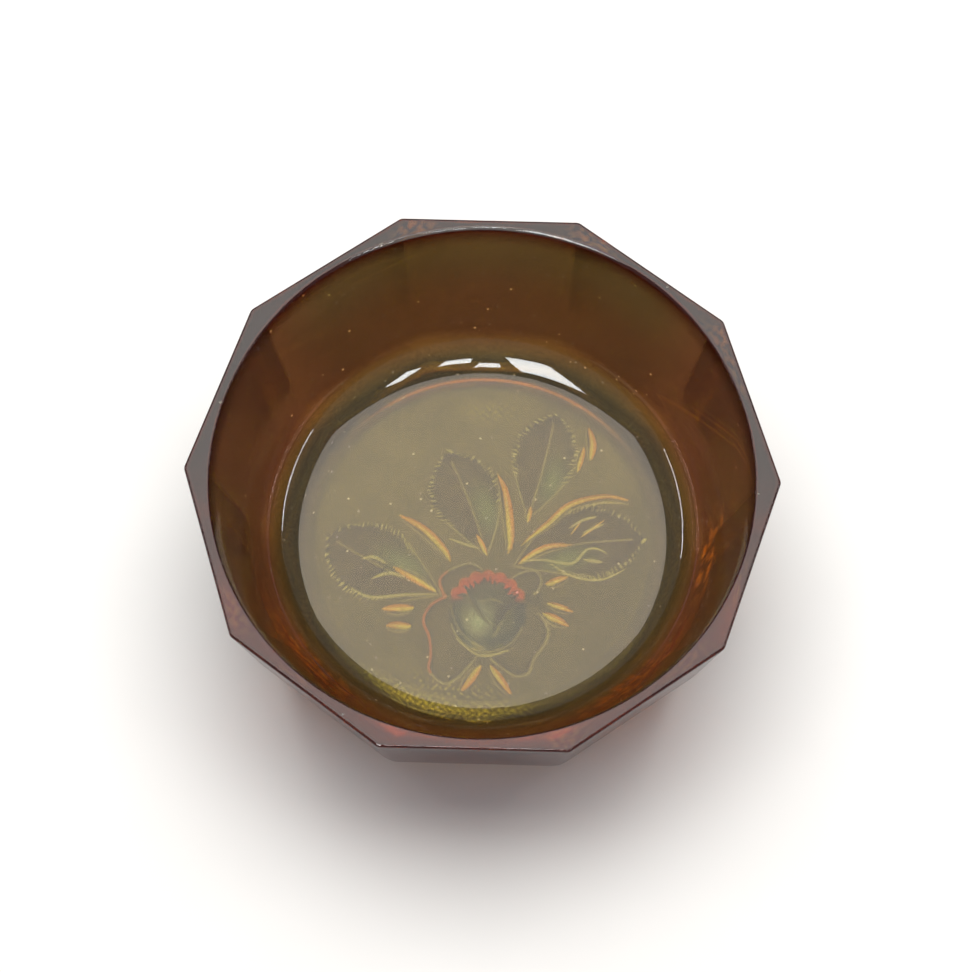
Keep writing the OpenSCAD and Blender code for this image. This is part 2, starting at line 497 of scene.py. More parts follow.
def petal_tint(tint, outline, x, y):
    """A painted highlight line outside the petal's edge, reddish on the left, and a painted shade
    line inside.
    """
    path = spline(outline)
    distance, place, _, _ = along(path, x, y)
    within = inside(np.vstack([path, [BUD_CENTRE]]), x, y)
    signed = np.where(within, distance, -distance)
    light = np.clip(1.3 - np.abs(signed + 0.3) / 0.32, 0.0, 1.0)
    dark = np.clip(1.5 - np.abs(signed - 0.35) / 0.42, 0.0, 1.0)
    tint = blend_tint(tint, MAUVE_PAINTED_SHADE, 0.25 * within)
    tint = blend_tint(tint, PAINTED_SHADE, 0.85 * dark)
    tint = blend_tint(tint, PALE_PAINTED_LIGHT, 0.75 * light)
    left = light * (x < -8) * (place < 0.6)
    return blend_tint(tint, RED_PAINTED_LIGHT, 0.8 * left)


def bud_tint(tint, x, y):
    """Slate bud with a lit cheek, dark folds and a red scalloped back, all painted light and shade.
    """
    reach, behind, back, across = bud_place(x, y)
    within = smooth_step((1.0 - reach) / 0.06)
    tint = blend_tint(tint, SLATE_PAINTED_SHADE, 0.85 * within)
    cheek_highlight = np.exp(-((x + 0.5) / 2.6) ** 2 - ((y + 19.5) / 3.0) ** 2)
    tint = blend_tint(tint, BUD_CHEEK_HIGHLIGHT, 0.7 * cheek_highlight * within)
    front = within * (reach > 0.93) * (back < -0.3)
    tint = blend_tint(tint, PALE_PAINTED_LIGHT, 0.7 * front)
    for path, step in FOLDS:
        distance, _, side, _ = along(spline(path), x, y)
        crease = np.clip(1.0 - distance / 0.5, 0.0, 1.0) * within
        tint = blend_tint(tint, PAINTED_SHADE, 0.8 * crease)
        lip = np.clip(1.0 - np.abs(distance - 0.6) / 0.35, 0.0, 1.0) * within
        lip = lip * (side * np.sign(step) < 0)
        tint = blend_tint(tint, PALE_PAINTED_LIGHT, 0.35 * lip)
    flames = np.abs(((np.arctan2(back, across) * 4.6 + 0.3 * np.sin(x * 1.3)) % 1.0) * 2.0 - 1.0)
    band = smooth_step((reach - 0.62 - 0.2 * flames) / 0.06) * behind
    tint = blend_tint(tint, RED_PAINTED_LIGHT, 0.95 * band * within * smooth_step((back - 0.2) / 0.2))
    tip = smooth_step((reach - 0.93) / 0.05) * behind * within
    return blend_tint(tint, ORANGE_PAINTED_LIGHT, 0.35 * tip * smooth_step((back - 0.3) / 0.2))


def pattern_tint(x, y):
    """Tint of the pressed underside at each point."""
    radius = np.hypot(x, y)
    turn = np.arctan2(y, x)
    cloudy_darker_front = 0.9 + 0.2 * speckle(x, y, 9.0, 1.1)
    # Darker towards the front and right.
    cloudy_darker_front = cloudy_darker_front * (0.42 + 0.58 * smooth_step((y - 0.3 * x + 14.0) / 34.0))
    tint = np.array(FLOOR_TINT) * cloudy_darker_front[:, None]
    shimmer = smooth_step((speckle(x, y, 1.5, 0.2) - 0.62) / 0.2)
    front = np.exp(-((radius - 37.0) / 2.6) ** 2) * np.exp(-((turn + 1.75) / 0.35) ** 2)
    back = np.exp(-((x - 1.0) / 6.5) ** 2 - ((y - 33.5) / 2.3) ** 2)
    tint = blend_tint(tint, SHIMMER, 0.75 * shimmer * np.clip(front + back, 0.0, 1.0))
    for base, bend, tip, left, right in LEAVES:
        tint = leaf_tint(tint, base, bend, tip, left, right, x, y)
    for outline in PETALS:
        tint = petal_tint(tint, outline, x, y)
    # Painted shade along the curl.
    ring = np.abs(np.hypot(x - CURL_CENTRE[0], y - CURL_CENTRE[1]) - CURL_RADIUS)
    tint = blend_tint(tint, PAINTED_SHADE, 0.6 * np.clip(1.0 - ring / 0.6, 0.0, 1.0))
    for path, width in BLADES + DASHES:
        tint = groove_tint(tint, spline(path), width, x, y)
    tint = bud_tint(tint, x, y)
    # Painted shade in the creases and painted highlights along the light strokes.
    for path, width in CREASES:
        tint = stroke_tint(tint, spline(path), width, PAINTED_SHADE, 0.85, x, y)
    for path, width in LIGHT_STROKES:
        tint = stroke_tint(tint, spline(path), 0.75 * width, CREAM_PAINTED_LIGHT, 0.6, x, y)
    return tint


def front_shimmer(tint, x, y):
    """Painted golden shimmer in ripples where the floor meets the foot at the front."""
    ring = np.exp(-((np.hypot(x, y) - 42.5) / 2.4) ** 2)
    arc_share = np.exp(-((np.arctan2(y, x) + 1.78) / 0.42) ** 4)
    ripples = 0.25 + 0.75 * smooth_step((speckle(x, y, 1.6, 0.2) - 0.45) / 0.2)
    return blend_tint(tint, YELLOW_PAINTED_LIGHT, 0.8 * ring * arc_share * ripples)


def recess_edge_tint(x, y, share):
    """The slope at the edge of the recess has painted shade and a painted orange glow at the back.
    """
    turn = np.arctan2(y, x)
    behind = 0.95 * np.exp(-((turn - math.pi / 2 + 0.06) / 0.65) ** 4)
    tint = np.tile(np.array(FLOOR_TINT), (len(x), 1))
    tint = blend_tint(tint, FOOT_TINT, np.full(len(x), share))
    shade = math.exp(-((share - 0.3) / 0.2) ** 2)
    tint = blend_tint(tint, PAINTED_SHADE, np.full(len(x), 0.45 * shade))
    line = math.exp(-((share - 0.88) / 0.1) ** 2)
    tint = blend_tint(tint, RECESS_ARC, behind * line)
    return front_shimmer(tint, x, y)


def glow(x, y, place, size):
    """Soft spot round a place, broken up into glints."""
    spot = np.exp(-((x - place[0]) ** 2 + (y - place[1]) ** 2) / size ** 2)
    return spot * smooth_step((speckle(x, y, 2.3, 0.9) - 0.42) / 0.2)


def foot_tint(x, y, share):
    """Mauve brown foot painted paler outwards, with a painted yellow glow on its outer edge at the
    back.
    """
    behind = np.exp(-((np.arctan2(y, x) - 1.6) / 0.5) ** 4)
    tint = np.tile(np.array(FOOT_TINT), (len(x), 1))
    tint = blend_tint(tint, FOOT_RIM_TINT, np.full(len(x), smooth_step((share - 0.2) / 0.5)))
    tint = front_shimmer(tint, x, y)
    return blend_tint(tint, FOOT_EDGE_TINT, behind * smooth_step((share - 0.75) / 0.15))


def land_tint(x, y):
    """Dark red rim with painted light: redder at the front, with orange glints in a few corners."""
    tint = np.tile(np.array(LAND_TINT), (len(x), 1))
    tint = blend_tint(tint, LAND_FRONT_TINT, smooth_step((10.0 - y) / 50.0))
    for place, size in LAND_GLINTS:
        strength = BACK_GLINT if place[1] > 0 else FRONT_GLINT
        tint = blend_tint(tint, ORANGE_PAINTED_LIGHT, strength * glow(x, y, place, size))
    return tint


def facet_tint(x, y, level):
    """Brown facets painted with light: red in front, paler near the foot, patches of orange glints.
    """
    tint = np.tile(np.array(FACET_TINT), (len(x), 1))
    tint = blend_tint(tint, FACET_FRONT_TINT, smooth_step((-y - 10.0) / 30.0))
    low_share = smooth_step((9.0 - level) / 7.0)
    tint = blend_tint(tint, FOOT_RIM_TINT, np.full(len(x), 0.7 * low_share))
    turn = np.degrees(np.arctan2(y, x))
    first = speckle(turn + 0.6 * level, level - 0.3 * turn, 7.3, 0.9)
    second = speckle(turn - 0.5 * level, 0.8 * level + 0.6 * turn, 3.1, 2.3)
    patchy = smooth_step((0.6 * first + 0.4 * second - 0.5) / 0.25)
    for middle, width, low, high in FACET_GLINTS:
        off = (turn - middle + 180.0) % 360.0 - 180.0
        share = np.exp(-(off / width) ** 2) * (low <= level <= high)
        tint = blend_tint(tint, ORANGE_PAINTED_LIGHT, 0.85 * share * patchy)
    return tint


def wall_tint(x, y, level):
    """Brown wall with painted light: redder in front and at the sides, olive high at the back, with
    painted orange glints.
    """
    tint = np.tile(np.array(WALL_TINT), (len(x), 1))
    front = smooth_step((10.0 - y) / 40.0)
    tint = blend_tint(tint, FRONT_TINT, front)
    high = smooth_step((level - 24.0) / 18.0) * (1.0 - front)
    tint = blend_tint(tint, OLIVE_TINT, high)
    side = smooth_step((np.abs(x) / np.hypot(x, y) - 0.6) / 0.3)
    tint = blend_tint(tint, SIDE_TINT, side)
    for place, size in WALL_GLINTS:
        tint = blend_tint(tint, ORANGE_PAINTED_LIGHT, 0.8 * glow(x, y, place, size))
    return tint


def fillet_tint(x, y, angle):
    """Clear near the floor, amber in a band above it, brown towards the wall."""
    wall = wall_tint(x, y, 0.0)
    side = np.abs(np.cos(np.arctan2(y, x)))
    amber = blend_tint(wall, AMBER, 0.35 + 0.5 * side)
    if angle < 44:
        share = max(angle - 30.0, 0.0) / 14
        return np.array(CLEAR_TINT) * (1.0 - share) + amber * share
    share = min((angle - 44.0) / 12, 1.0)
    return amber * (1.0 - share) + wall * share


# ---------------------------------------------------------------- the glass body

class Skin:
    """Closed surface built ring by ring. A ring may have half as many points as its neighbour."""

    def __init__(self):
        self.points = []
        self.tints = []
        self.grains = []
        self.faces = []
        self.count = 0
        self.last = None

    def pole(self, height, tint):
        """A point on the axis that opens or closes the surface."""
        self.grains.append(np.zeros(1))
        self.points.append(np.array([[0.0, 0.0, height]]))
        self.tints.append(np.array([tint]))
        pole = self.count
        self.count += 1
        if self.last is not None:
            ring = self.last
            following = np.roll(ring, -1)
            self.faces += [(a, b, pole) for a, b in zip(ring.tolist(), following.tolist())]
        self.last = np.array([pole])

    def ring(self, points, tint, grain=0.0):
        """The next ring of points, joined to the one before it."""
        self.grains.append(np.full(len(points), grain))
        new = np.arange(self.count, self.count + len(points))
        self.points.append(points)
        self.tints.append(np.broadcast_to(np.array(tint, float), points.shape))
        self.count += len(points)
        old = self.last
        new_next = np.roll(new, -1)
        if len(old) == 1:
            pole = int(old[0])
            self.faces += [(pole, b, a) for a, b in zip(new.tolist(), new_next.tolist())]
        elif len(old) == len(new):
            old_next = np.roll(old, -1)
            quads = np.stack([old, old_next, new_next, new], axis=1)
            self.faces += [tuple(quad) for quad in quads.tolist()]
        elif len(old) < len(new):
            self.fan(old, new, False)
        else:
            self.fan(new, old, True)
        self.last = new

    def fan(self, coarse, fine, turned):
        """Three triangles for each side of the coarse ring."""
        here = fine[0::2]
        middle = fine[1::2]
        corners = [coarse, np.roll(coarse, -1), here, middle, np.roll(here, -1)]
        for left, right, first, second, third in np.stack(corners, axis=1).tolist():
            three = [(left, second, first), (left, right, second), (right, third, second)]
            if turned:
                three = [face[::-1] for face in three]
            self.faces += three

    def mesh(self, name):
        """Mesh of the surface in metres, with its tints and grains in one layer."""
        points = np.vstack(self.points) * MM
        mesh = bpy.data.meshes.new(name)
        mesh.from_pydata(points.tolist(), [], self.faces)
        tints = np.vstack(self.tints)
        colours = np.concatenate([tints, np.concatenate(self.grains)[:, None]], axis=1)
        layer = mesh.attributes.new(TINT_LAYER, "FLOAT_COLOR", "POINT")
        layer.data.foreach_set("color", colours.ravel())
        mesh.polygons.foreach_set("use_smooth", np.ones(len(mesh.polygons), bool))
        mesh.update()
        return mesh


def even_angles(count):
    """Angles of evenly spaced points, in radians."""
    return np.arange(count) * 2 * math.pi / count


def crowded_angles(count):
    """Angles that crowd together at the ten corners."""
    share = np.arange(count) * SIDES / count
    side = np.floor(share)
    part = share - side
    part = part - CORNER_CROWDING * np.sin(2 * np.pi * part) / (2 * np.pi)
    return (side + part) * SIDE_ANGLE


def round_ring(radius, height, count=SEGMENTS):
    """Level ring of evenly spaced points."""
    angles = even_angles(count)
    level = np.full(count, height)
    return np.stack([radius * np.cos(angles), radius * np.sin(angles), level], axis=1)


def sided_ring(flat, corner, height):
    """Ten-sided ring. flat is the distance to a side, corner the rounding of its corners."""
    angles = crowded_angles(SEGMENTS)
    off = np.abs((angles % SIDE_ANGLE) - HALF_SIDE)
    straight = flat / np.cos(off)
    centre = (flat - corner) / math.cos(HALF_SIDE)
    from_corner = HALF_SIDE - off
    under_root = np.clip(corner ** 2 - (centre * np.sin(from_corner)) ** 2, 0.0, None)
    curved = centre * np.cos(from_corner) + np.sqrt(under_root)
    on_side = flat * np.tan(off) <= (flat - corner) * math.tan(HALF_SIDE)
    radius = np.where(on_side, straight, curved)
    level = np.full(SEGMENTS, height)
    return np.stack([radius * np.cos(angles), radius * np.sin(angles), level], axis=1)


def blend_rings(start, end, share):
    """Ring part of the way from one to another."""
    return start * (1.0 - share) + end * share


def pressed_ring(radius, height, count):
    """Round ring raised into the pressed pattern."""
    ring = round_ring(radius, height, count)
    ring[:, 2] += relief(ring[:, 0], ring[:, 1])
    return ring


def sizes():
    """Sizes of the dish in millimetres, read from the CAD boxes."""
    _, whole_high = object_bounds()
    _, shoulder_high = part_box("shoulder")
    _, foot_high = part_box("foot_ring")
    floor_low, floor_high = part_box("floor_panel")
    rim_flat = whole_high.y / MM
    height = whole_high.z / MM
    recess_height = floor_low.z / MM
    shoulder_height = shoulder_high.z / MM
    shoulder_flat = shoulder_high.y / MM
    foot_top_flat = foot_high.y / MM
    foot_rise = (shoulder_flat - foot_top_flat) / (shoulder_height - recess_height)
    mouth = rim_flat - LAND_WIDTH
    floor = recess_height + FLOOR_THICKNESS
    fillet_height = floor + FILLET_RADIUS
    fillet_centre = mouth - (height - fillet_height) * math.tan(BORE_LEAN)
    fillet_centre -= FILLET_RADIUS / math.cos(BORE_LEAN)
    return {
        "rim_flat": rim_flat,
        "height": height,
        "mouth": mouth,
        "recess_height": recess_height,
        "recess": floor_high.x / MM,
        "shoulder_height": shoulder_height,
        "shoulder_flat": shoulder_flat,
        "foot_flat": foot_top_flat - foot_rise * recess_height,
        "floor": floor,
        "fillet_centre": fillet_centre,
        "fillet_height": fillet_height,
    }


def arc(radius, start, end, count):
    """Points of an arc about its centre, angles in degrees from the horizontal."""
    for angle in np.radians(np.linspace(start, end, count)):
        yield radius * math.cos(angle), radius * math.sin(angle)


def underside(skin, size):
    """The pressed floor of the recess, from its middle outwards."""
    level = size["recess_height"]
    middle = np.zeros(1)
    skin.pole(level + float(relief(middle, middle)[0]), pattern_tint(middle, middle)[0])
    radius = FLOOR_SPACING
    last = size["recess"] - RECESS_SLOPE
    while radius < last - FLOOR_SPACING / 2:
        count = FLOOR_SEGMENTS
        for limit, fewer in FEWER_POINTS:
            if radius < limit:
                count = FLOOR_SEGMENTS // fewer
        ring = pressed_ring(radius, level, count)
        skin.ring(ring, pattern_tint(ring[:, 0], ring[:, 1]))
        radius += FLOOR_SPACING
    for share in np.linspace(0.0, 1.0, 11):
        drop = level * smooth_step(share)
        ring = round_ring(last + RECESS_SLOPE * share, level - drop, FLOOR_SEGMENTS)
        skin.ring(ring, recess_edge_tint(ring[:, 0], ring[:, 1], share))


def foot(skin, size):
    """The flat ring that the dish stands on."""
    start = round_ring(size["recess"] + 0.2, 0.0)
    end = sided_ring(size["foot_flat"] - FOOT_EDGE, FOOT_CORNER, 0.0)
    for share in (0.1, 0.33, 0.67, 0.9, 1.0):
        ring = blend_rings(start, end, share)
        skin.ring(ring, foot_tint(ring[:, 0], ring[:, 1], share))


def outside(skin, size):
    """The curved turn above the foot and the ten leaning facets."""
    foot_flat = size["foot_flat"]
    turn_height = size["shoulder_height"]
    turn_flat = size["shoulder_flat"]
    rim_flat = size["rim_flat"]
    height = size["height"]
    lean = (rim_flat - turn_flat) / (height - turn_height)
    start = np.array([foot_flat - FOOT_EDGE * 0.3, FOOT_EDGE * 0.55])
    knee = np.array([turn_flat - KNEE_IN, turn_height - KNEE_DROP])
    facet = np.array([turn_flat + lean * TURN_RISE, turn_height + TURN_RISE])
    for share in np.linspace(0.0, 1.0, 15):
        rest = 1 - share
        flat, level = rest ** 2 * start + 2 * share * rest * knee + share ** 2 * facet
        corner = FOOT_CORNER + (SHOULDER_CORNER - FOOT_CORNER) * math.sin(math.pi * share / 2)
        ring = sided_ring(flat, corner, level)
        if share < FOOT_PART_OF_TURN:
            tint = foot_tint(ring[:, 0], ring[:, 1], 1.0 - 9.0 * share)
        else:
            tint = facet_tint(ring[:, 0], ring[:, 1], level)
        skin.ring(ring, tint, FACET_GRAIN)
    top = height - RIM_EDGE
    for share in np.linspace(0.0, 1.0, 9)[1:]:
        level = facet[1] + (top - facet[1]) * share
        corner = SHOULDER_CORNER + (RIM_CORNER - SHOULDER_CORNER) * share
        ring = sided_ring(rim_flat - lean * (height - level), corner, level)
        skin.ring(ring, facet_tint(ring[:, 0], ring[:, 1], level), FACET_GRAIN)
    outer = rim_flat - lean * RIM_EDGE - RIM_EDGE
    for out, up in list(arc(RIM_EDGE, 0, 90, 6))[1:]:
        skin.ring(sided_ring(outer + out, RIM_CORNER, top + up), EDGE_TINT)


def rim_land(skin, size):
    """The flat polished land between the ten sides and the round mouth."""
    outer = size["rim_flat"] - 2 * RIM_EDGE
    start = sided_ring(outer, RIM_CORNER, size["height"])
    turn = even_angles(SEGMENTS)
    edge = MOUTH_EDGE + (MOUTH_EDGE_BACK - MOUTH_EDGE) * smooth_step((np.sin(turn) - 0.3) / 0.5)
    end = round_ring(1.0, size["height"])
    end[:, :2] *= (size["mouth"] + edge)[:, None]
    for share in (0.06, 0.2, 0.35, 0.5, 0.65, 0.8, 0.94):
        ring = blend_rings(start, end, share)
        skin.ring(ring, land_tint(ring[:, 0], ring[:, 1]))
    for across, rise in arc(1.0, 90, 180 - math.degrees(BORE_LEAN), 6):
        reach = size["mouth"] + edge * (1.0 + across)
        level = size["height"] - edge * (1.0 - rise)
        ring = np.stack([reach * np.cos(turn), reach * np.sin(turn), level], axis=1)
        # The back of the mouth has a painted pale highlight.
        painted_highlight = 0.9 * np.exp(-((turn - 1.62) / 0.42) ** 4) * (-0.75 < across < -0.02)
        tint = np.tile(np.array(EDGE_TINT), (len(turn), 1))
        skin.ring(ring, blend_tint(tint, PAINTED_EDGE_HIGHLIGHT_TINT, painted_highlight))


def inside_of_dish(skin, size):
    """The tapering wall, the fillet and the flat floor."""
    lean_degrees = math.degrees(BORE_LEAN)
    top_radius = size["mouth"] - MOUTH_EDGE_BACK * math.tan(BORE_LEAN)
    top_height = size["height"] - MOUTH_EDGE_BACK
    tangent_radius = size["fillet_centre"] + FILLET_RADIUS * math.cos(BORE_LEAN)
    tangent_height = size["fillet_height"] - FILLET_RADIUS * math.sin(BORE_LEAN)
    for share in np.linspace(0.0, 1.0, 9)[1:-1]:
        radius = top_radius + (tangent_radius - top_radius) * share
        level = top_height + (tangent_height - top_height) * share
        ring = round_ring(radius, level)
        skin.ring(ring, wall_tint(ring[:, 0], ring[:, 1], level))
    steps = np.concatenate([
        np.linspace(90 - lean_degrees, BEAD_ANGLE + 4, 5),
        np.linspace(BEAD_ANGLE + 3, BEAD_ANGLE - 3, 9),
        np.linspace(BEAD_ANGLE - 4, 0, 12),
    ])
    turn = even_angles(SEGMENTS)
    # The bead fades out towards the front and the back.
    sides_only = smooth_step((np.abs(np.cos(turn - 0.1)) - 0.45) / 0.35)
    for angle in steps:
        bead = BEAD_HEIGHT * math.exp(-((angle - BEAD_ANGLE) / BEAD_HALF_ANGLE) ** 2)
        reach = FILLET_RADIUS - bead * sides_only
        out = size["fillet_centre"] + reach * math.sin(math.radians(angle))
        up = size["fillet_height"] - reach * math.cos(math.radians(angle))
        ring = np.stack([out * np.cos(turn), out * np.sin(turn), up], axis=1)
        skin.ring(ring, fillet_tint(ring[:, 0], ring[:, 1], angle))
    for radius, fewer in PLAIN_RINGS:
        skin.ring(round_ring(radius, size["floor"], SEGMENTS // fewer), CLEAR_TINT)
    skin.pole(size["floor"], CLEAR_TINT)


def glass_dish(size):
    """The whole pressing as one closed mesh, from the middle of its underside out and back in."""
    skin = Skin()
    underside(skin, size)
    foot(skin, size)
    outside(skin, size)
    rim_land(skin, size)
    inside_of_dish(skin, size)
    mesh = skin.mesh("pressed_glass_dish")
    dish = bpy.data.objects.new("pressed_glass_dish", mesh)
    bpy.context.collection.objects.link(dish)
    return dish


# ---------------------------------------------------------------- materials

# HAZE is the share of the light that the worn, dusty surface scatters.
GLASS_IOR = 1.51
HAZE = 0.09
ABSORB_COLOUR = (0.86, 0.75, 0.05, 1.0)
ABSORB_DENSITY = 110.0
# Scales of the noises in the glass, from broad smears down to fine grain.
SMEAR_SCALE = 55.0
CLOUD_SCALE = 90.0
SPECK_SCALE = 210.0
RIPPLE_SCALE = 260.0
GRAIN_SCALE = 1500.0
# What the noises do: smear roughness, and the colours that the tint is multiplied by.
SMEAR_ROUGHNESS = 0.05
CLOUD_COLOURS = [(0.3, (1.0, 0.98, 0.95, 1.0)), (0.7, (0.86, 0.84, 0.82, 1.0))]
GRAIN_COLOURS = [(0.3, (0.80, 0.80, 0.82, 1.0)), (0.72, (1.18, 1.15, 1.08, 1.0))]
SPECK_COLOUR = (1.0, 0.85, 0.6, 1.0)
SPECK_STRENGTH = 0.7
BOARD_COLOURS = [(0.0, (0.80, 0.79, 0.77, 1.0)), (1.0, (0.84, 0.83, 0.81, 1.0))]


def new_material(name):
    """Material with one Principled shader: its nodes, links, shader and output."""
    material = bpy.data.materials.new(name)
    material.use_nodes = True
    nodes = material.node_tree.nodes
    links = material.node_tree.links
    nodes.clear()
    output = nodes.new("ShaderNodeOutputMaterial")
    shader = nodes.new("ShaderNodeBsdfPrincipled")
    links.new(shader.outputs["BSDF"], output.inputs["Surface"])
    return material, nodes, links, shader, output


def object_place(nodes):
    """Coordinates of the object itself, in metres."""
    return nodes.new("ShaderNodeTexCoord").outputs["Object"]


def noise(nodes, links, place, scale, detail):
    """Soft noise from 0 to 1."""
    texture = nodes.new("ShaderNodeTexNoise")
    texture.inputs["Scale"].default_value = scale
    texture.inputs["Detail"].default_value = detail
    links.new(place, texture.inputs["Vector"])
    return texture.outputs["Fac"]


def remap(nodes, links, value, start, end, result):
    """0 up to start, then a ramp to the given result at end."""
    remapper = nodes.new("ShaderNodeMapRange")
    remapper.inputs["From Min"].default_value = start
    remapper.inputs["From Max"].default_value = end
    remapper.inputs["To Min"].default_value = 0.0
    remapper.inputs["To Max"].default_value = result
    links.new(value, remapper.inputs["Value"])
    return remapper.outputs["Result"]


def coloured(nodes, links, value, stops):
    """Colour that changes between two stops of a value."""
    ramp = nodes.new("ShaderNodeValToRGB")
    for element, (position, colour) in zip(ramp.color_ramp.elements, stops):
        element.position = position
        element.color = colour
    links.new(value, ramp.inputs["Fac"])
    return ramp.outputs["Color"]


def multiplied(nodes, links, first, second):
    """Product of two colours, at most 1."""
    mixer = nodes.new("ShaderNodeMix")
    mixer.data_type = "RGBA"
    mixer.blend_type = "MULTIPLY"
    mixer.clamp_result = True
    mixer.inputs["Factor"].default_value = 1.0
    links.new(first, mixer.inputs["A"])
    links.new(second, mixer.inputs["B"])
    return mixer.outputs["Result"]


def specked(nodes, links, colour, place):
    """The colour with a few small pale specks."""
    cells = nodes.new("ShaderNodeTexVoronoi")
    cells.inputs["Scale"].default_value = SPECK_SCALE
    cells.inputs["Randomness"].default_value = 1.0
    links.new(place, cells.inputs["Vector"])
    specks = remap(nodes, links, cells.outputs["Distance"], 0.08, 0.04, SPECK_STRENGTH)
    mixer = nodes.new("ShaderNodeMix")
    mixer.data_type = "RGBA"
    mixer.inputs["B"].default_value = SPECK_COLOUR
    links.new(specks, mixer.inputs["Factor"])
    links.new(colour, mixer.inputs["A"])
    return mixer.outputs["Result"]


def amber_glass():
    """Dark amber pressed glass: stored tint with painted light and shade, faint smears, grain,
    specks and mould ripple.
    """
    material, nodes, links, shader, output = new_material("amber_pressed_glass")
    shader.inputs["Transmission Weight"].default_value = 1.0 - HAZE
    shader.inputs["IOR"].default_value = GLASS_IOR
    body = object_place(nodes)
    stored = nodes.new("ShaderNodeAttribute")
    stored.attribute_name = TINT_LAYER

    smears = noise(nodes, links, body, SMEAR_SCALE, 4.0)
    roughness = nodes.new("ShaderNodeMath")
    roughness.operation = "ADD"
    links.new(remap(nodes, links, smears, 0.45, 0.8, SMEAR_ROUGHNESS), roughness.inputs[0])
    links.new(stored.outputs["Alpha"], roughness.inputs[1])
    links.new(roughness.outputs["Value"], shader.inputs["Roughness"])

    clouds = coloured(nodes, links, noise(nodes, links, body, CLOUD_SCALE, 3.0), CLOUD_COLOURS)
    grain = coloured(nodes, links, noise(nodes, links, body, GRAIN_SCALE, 2.0), GRAIN_COLOURS)
    colour = multiplied(nodes, links, stored.outputs["Color"], clouds)
    colour = multiplied(nodes, links, colour, grain)
    links.new(specked(nodes, links, colour, body), shader.inputs["Base Color"])

    bump = nodes.new("ShaderNodeBump")
    bump.inputs["Strength"].default_value = 0.18
    bump.inputs["Distance"].default_value = 0.00008
    links.new(noise(nodes, links, body, RIPPLE_SCALE, 2.0), bump.inputs["Height"])
    links.new(bump.outputs["Normal"], shader.inputs["Normal"])

    absorb = nodes.new("ShaderNodeVolumeAbsorption")
    absorb.inputs["Color"].default_value = ABSORB_COLOUR
    absorb.inputs["Density"].default_value = ABSORB_DENSITY
    links.new(absorb.outputs["Volume"], output.inputs["Volume"])
    return material


def floor_material():
    """Pale matt board."""
    material, nodes, links, shader, _ = new_material("pale_board")
    shader.inputs["Roughness"].default_value = 0.8
    shader.inputs["Specular IOR Level"].default_value = 0.2
    mottle = noise(nodes, links, object_place(nodes), 30.0, 5.0)
    links.new(coloured(nodes, links, mottle, BOARD_COLOURS), shader.inputs["Base Color"])
    return material


# ---------------------------------------------------------------- stage, lights, camera

FLOOR_HALF_WIDTH = 3.0
FLOOR_DROP = 0.00005

# Lights that look straight down: x, y, height, width, depth, radiance and colour.
OVERHEAD = (0.0, 0.62, 1.5, 1.9, 1.4, 3.1, (1.0, 0.93, 0.87))
FLOOR_FILL = (0.0, 1.3, 2.6, 3.0, 2.2, 2.4, (0.9, 0.97, 1.0))
# Window panes above and in front of the dish: middle, width and depth.
PANE_HEIGHT = 1.3
PANE_RADIANCE = 18.0
PANE_COLOUR = (0.95, 0.99, 1.0)
PANES = [
    ((0.52, -0.58), 0.14, 0.34),
    ((0.185, -0.70), 0.20, 0.24),
    ((-0.02, -0.45), 0.12, 0.2),
    ((-0.34, -0.62), 0.36, 0.66),
]
# Strips at the sides of the dish: name, azimuth in degrees, radiance and colour.
STRIP_DISTANCE = 1.5
STRIP_FROM_ZENITH = 67
STRIP_LENGTH = 0.9
STRIP_WIDTH = 0.05
STRIP_AIM = (0, 0, 0.03)
STRIPS = [
    ("strip_right", 5, 16.0, (0.9, 0.95, 1.0)),
    ("strip_left", 170, 14.0, (0.95, 0.95, 1.0)),
]
# The beam that lights the floor under the recess. Its power is in watts.
BEAM_RADIUS = 0.0435
BEAM_SPREAD = math.radians(2)
BEAM_HEIGHT = 0.12
BEAM_POWER = 0.018


def stage_floor():
    """A wide board just under the dish. It isn't part of the object."""
    half = FLOOR_HALF_WIDTH
    corners = [(-half, -half, 0), (half, -half, 0), (half, half, 0), (-half, half, 0)]
    mesh = bpy.data.meshes.new("studio_floor")
    mesh.from_pydata(corners, [], [(0, 1, 2, 3)])
    floor = bpy.data.objects.new("studio_floor", mesh)
    floor.location.z = -FLOOR_DROP
    bpy.context.collection.objects.link(floor)
    mesh.materials.append(floor_material())
    return floor


def softbox(name, place, aim, width, depth, radiance, colour, only=None):
    """Rectangular soft light turned towards a point. It may light one collection only."""
    lamp = bpy.data.lights.new(name, "AREA")
    lamp.shape = "RECTANGLE"
    lamp.size = width
    lamp.size_y = depth
    lamp.energy = radiance * math.pi * width * depth
    lamp.color = colour
    thing = bpy.data.objects.new(name, lamp)
    bpy.context.collection.objects.link(thing)
    thing.location = place
    direction = Vector(aim) - Vector(place)
    thing.rotation_euler = direction.to_track_quat("-Z", "Y").to_euler()
    if only is not None:
        thing.light_linking.receiver_collection = only


def softbox_above(name, x, y, height, width, depth, radiance, colour, only=None):
    """Soft light that looks straight down."""
    softbox(name, (x, y, height), (x, y, 0.0), width, depth, radiance, colour, only)


